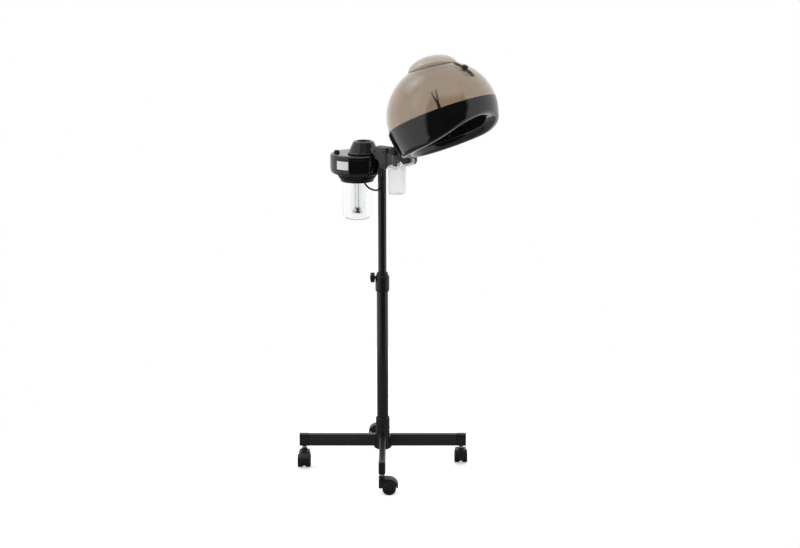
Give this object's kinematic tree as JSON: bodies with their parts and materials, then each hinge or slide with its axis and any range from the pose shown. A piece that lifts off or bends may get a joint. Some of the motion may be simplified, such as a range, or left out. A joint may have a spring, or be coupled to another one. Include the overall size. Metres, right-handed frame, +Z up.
{
  "type": "hooded hair steamer",
  "caption": "Hooded hair steamer on a rolling stand: tilting translucent dome, water-tank steam generator, drip cup, height-adjustable mast and twin-wheel casters.",
  "frame": {"origin": "floor point under the middle of the whole outline", "axes": "+Z up, -Y the side the hood reaches out to, +X the wearer's left when seated facing -Y"},
  "size_m": [0.4256, 0.5978, 1.2997],
  "materials": {
    "stand_black": "satin",
    "moulded_black": "fine moulded texture",
    "bracket_black": "satin",
    "gloss_black": "polished",
    "smoke_shell": "smoky translucent",
    "clear_shell": "clear",
    "milky_shell": "milky translucent",
    "clear_hose": "soft clear",
    "black_rubber": "matte",
    "wheel_black": "hard nylon tread",
    "zinc_steel": "zinc plated",
    "heater_steel": "bright",
    "blank_label": "blank film"
  },
  "bodies": {
    "base": {"hub": "stand_black", "lower_tube": "stand_black", "height_collar": "moulded_black", "leg_front": "stand_black", "leg_right": "stand_black", "leg_rear": "stand_black", "leg_left": "stand_black", "leg_cap_front": "moulded_black", "leg_cap_right": "moulded_black", "leg_cap_rear": "moulded_black", "leg_cap_left": "moulded_black", "caster_stem_front": "zinc_steel", "caster_stem_right": "zinc_steel", "caster_stem_rear": "zinc_steel", "caster_stem_left": "zinc_steel"},
    "mast": {"upper_tube": "stand_black"},
    "head": {"head_bracket": "bracket_black", "steam_pipe": "bracket_black", "generator_cover": "gloss_black", "vent_ring": "moulded_black", "steam_tower": "gloss_black", "steam_riser": "clear_shell", "heater": "heater_steel", "rating_plate": "blank_label", "cable_boot": "black_rubber", "link_cable": "black_rubber", "drip_cup_lid": "milky_shell", "drain_hose": "clear_hose"},
    "tank_lock": {"tank_ring": "moulded_black"},
    "tank": {"water_tank": "clear_shell"},
    "cup": {"drip_cup": "milky_shell"},
    "timer": {"timer_knob": "moulded_black"},
    "hood": {"hood_arm": "moulded_black", "hood_rear_plate": "moulded_black", "hood_band": "gloss_black", "hood_dome": "smoke_shell", "hood_cap": "smoke_shell", "vent_rail": "moulded_black", "steam_nozzle": "moulded_black"},
    "tilt_handle": {"tilt_knob": "moulded_black"},
    "vent": {"vent_knob": "moulded_black", "vent_shutter": "smoke_shell"},
    "height_handle": {"height_knob": "moulded_black"},
    "caster_front": {"caster_housing_front": "moulded_black", "caster_axle_front": "zinc_steel"},
    "wheel_front_a": {"caster_wheel_front_a": "wheel_black"},
    "wheel_front_b": {"caster_wheel_front_b": "wheel_black"},
    "caster_right": {"caster_housing_right": "moulded_black", "caster_axle_right": "zinc_steel"},
    "wheel_right_a": {"caster_wheel_right_a": "wheel_black"},
    "wheel_right_b": {"caster_wheel_right_b": "wheel_black"},
    "caster_rear": {"caster_housing_rear": "moulded_black", "caster_axle_rear": "zinc_steel"},
    "wheel_rear_a": {"caster_wheel_rear_a": "wheel_black"},
    "wheel_rear_b": {"caster_wheel_rear_b": "wheel_black"},
    "caster_left": {"caster_housing_left": "moulded_black", "caster_axle_left": "zinc_steel"},
    "wheel_left_a": {"caster_wheel_left_a": "wheel_black"},
    "wheel_left_b": {"caster_wheel_left_b": "wheel_black"}
  },
  "joints": [
    {"name": "caster_front_swivel", "type": "hinge", "parent": "base", "child": "caster_front", "pos_m": [-0.19118, -0.06641, 0.056], "axis": [0, 0, 1], "continuous": true},
    {"name": "wheel_front_a_roll", "type": "hinge", "parent": "caster_front", "child": "wheel_front_a", "pos_m": [-0.17765, -0.08312, 0.0205], "axis": [0.7771, 0.6293, 0], "continuous": true},
    {"name": "wheel_front_b_roll", "type": "hinge", "parent": "caster_front", "child": "wheel_front_b", "pos_m": [-0.17765, -0.08312, 0.0205], "axis": [0.7771, 0.6293, 0], "continuous": true},
    {"name": "caster_right_swivel", "type": "hinge", "parent": "base", "child": "caster_right", "pos_m": [0.15481, -0.10278, 0.056], "axis": [0, 0, 1], "continuous": true},
    {"name": "wheel_right_a_roll", "type": "hinge", "parent": "caster_right", "child": "wheel_right_a", "pos_m": [0.17152, -0.08925, 0.0205], "axis": [-0.6293, 0.7771, 0], "continuous": true},
    {"name": "wheel_right_b_roll", "type": "hinge", "parent": "caster_right", "child": "wheel_right_b", "pos_m": [0.17152, -0.08925, 0.0205], "axis": [-0.6293, 0.7771, 0], "continuous": true},
    {"name": "caster_rear_swivel", "type": "hinge", "parent": "base", "child": "caster_rear", "pos_m": [0.19118, 0.24321, 0.056], "axis": [0, 0, 1], "continuous": true},
    {"name": "wheel_rear_a_roll", "type": "hinge", "parent": "caster_rear", "child": "wheel_rear_a", "pos_m": [0.17765, 0.25992, 0.0205], "axis": [-0.7771, -0.6293, 0], "continuous": true},
    {"name": "wheel_rear_b_roll", "type": "hinge", "parent": "caster_rear", "child": "wheel_rear_b", "pos_m": [0.17765, 0.25992, 0.0205], "axis": [-0.7771, -0.6293, 0], "continuous": true},
    {"name": "caster_left_swivel", "type": "hinge", "parent": "base", "child": "caster_left", "pos_m": [-0.15481, 0.27958, 0.056], "axis": [0, 0, 1], "continuous": true},
    {"name": "wheel_left_a_roll", "type": "hinge", "parent": "caster_left", "child": "wheel_left_a", "pos_m": [-0.17152, 0.26605, 0.0205], "axis": [0.6293, -0.7771, 0], "continuous": true},
    {"name": "wheel_left_b_roll", "type": "hinge", "parent": "caster_left", "child": "wheel_left_b", "pos_m": [-0.17152, 0.26605, 0.0205], "axis": [0.6293, -0.7771, 0], "continuous": true},
    {"name": "mast_height", "type": "slide", "parent": "base", "child": "mast", "axis": [0, 0, 1], "range_m": [-0.12, 0.22]},
    {"name": "height_knob_turn", "type": "hinge", "parent": "base", "child": "height_handle", "pos_m": [-0.01919, 0.1121, 0.606], "axis": [-0.6293, 0.7771, 0], "range_deg": [0, 540]},
    {"name": "head_swivel", "type": "hinge", "parent": "mast", "child": "head", "pos_m": [0, 0.0884, 0.975], "axis": [0, 0, 1], "range_deg": [-180, 180]},
    {"name": "hood_tilt", "type": "hinge", "parent": "head", "child": "hood", "pos_m": [0, 0.0224, 1.007], "axis": [-1, 0, 0], "range_deg": [-20, 25], "deforming": ["drain_hose"]},
    {"name": "tilt_knob_turn", "type": "hinge", "parent": "hood", "child": "tilt_handle", "pos_m": [-0.027, 0.0224, 1.007], "axis": [-1, 0, 0], "range_deg": [0, 360]},
    {"name": "vent_slide", "type": "hinge", "parent": "hood", "child": "vent", "pos_m": [0, -0.14983, 1.12604], "axis": [1, 0, 0], "range_deg": [-9, 7]},
    {"name": "timer_turn", "type": "hinge", "parent": "head", "child": "timer", "pos_m": [-0.039, 0.2349, 0.986], "axis": [0, 0, -1], "range_deg": [0, 300]},
    {"name": "tank_lock_turn", "type": "hinge", "parent": "head", "child": "tank_lock", "pos_m": [0, 0.1869, 0.898], "axis": [0, 0, 1], "range_deg": [0, 50]},
    {"name": "tank_drop", "type": "slide", "parent": "head", "child": "tank", "axis": [0, 0, -1], "range_m": [0, 0.13]},
    {"name": "cup_drop", "type": "slide", "parent": "head", "child": "cup", "axis": [0, 0, -1], "range_m": [0, 0.06]}
  ]
}
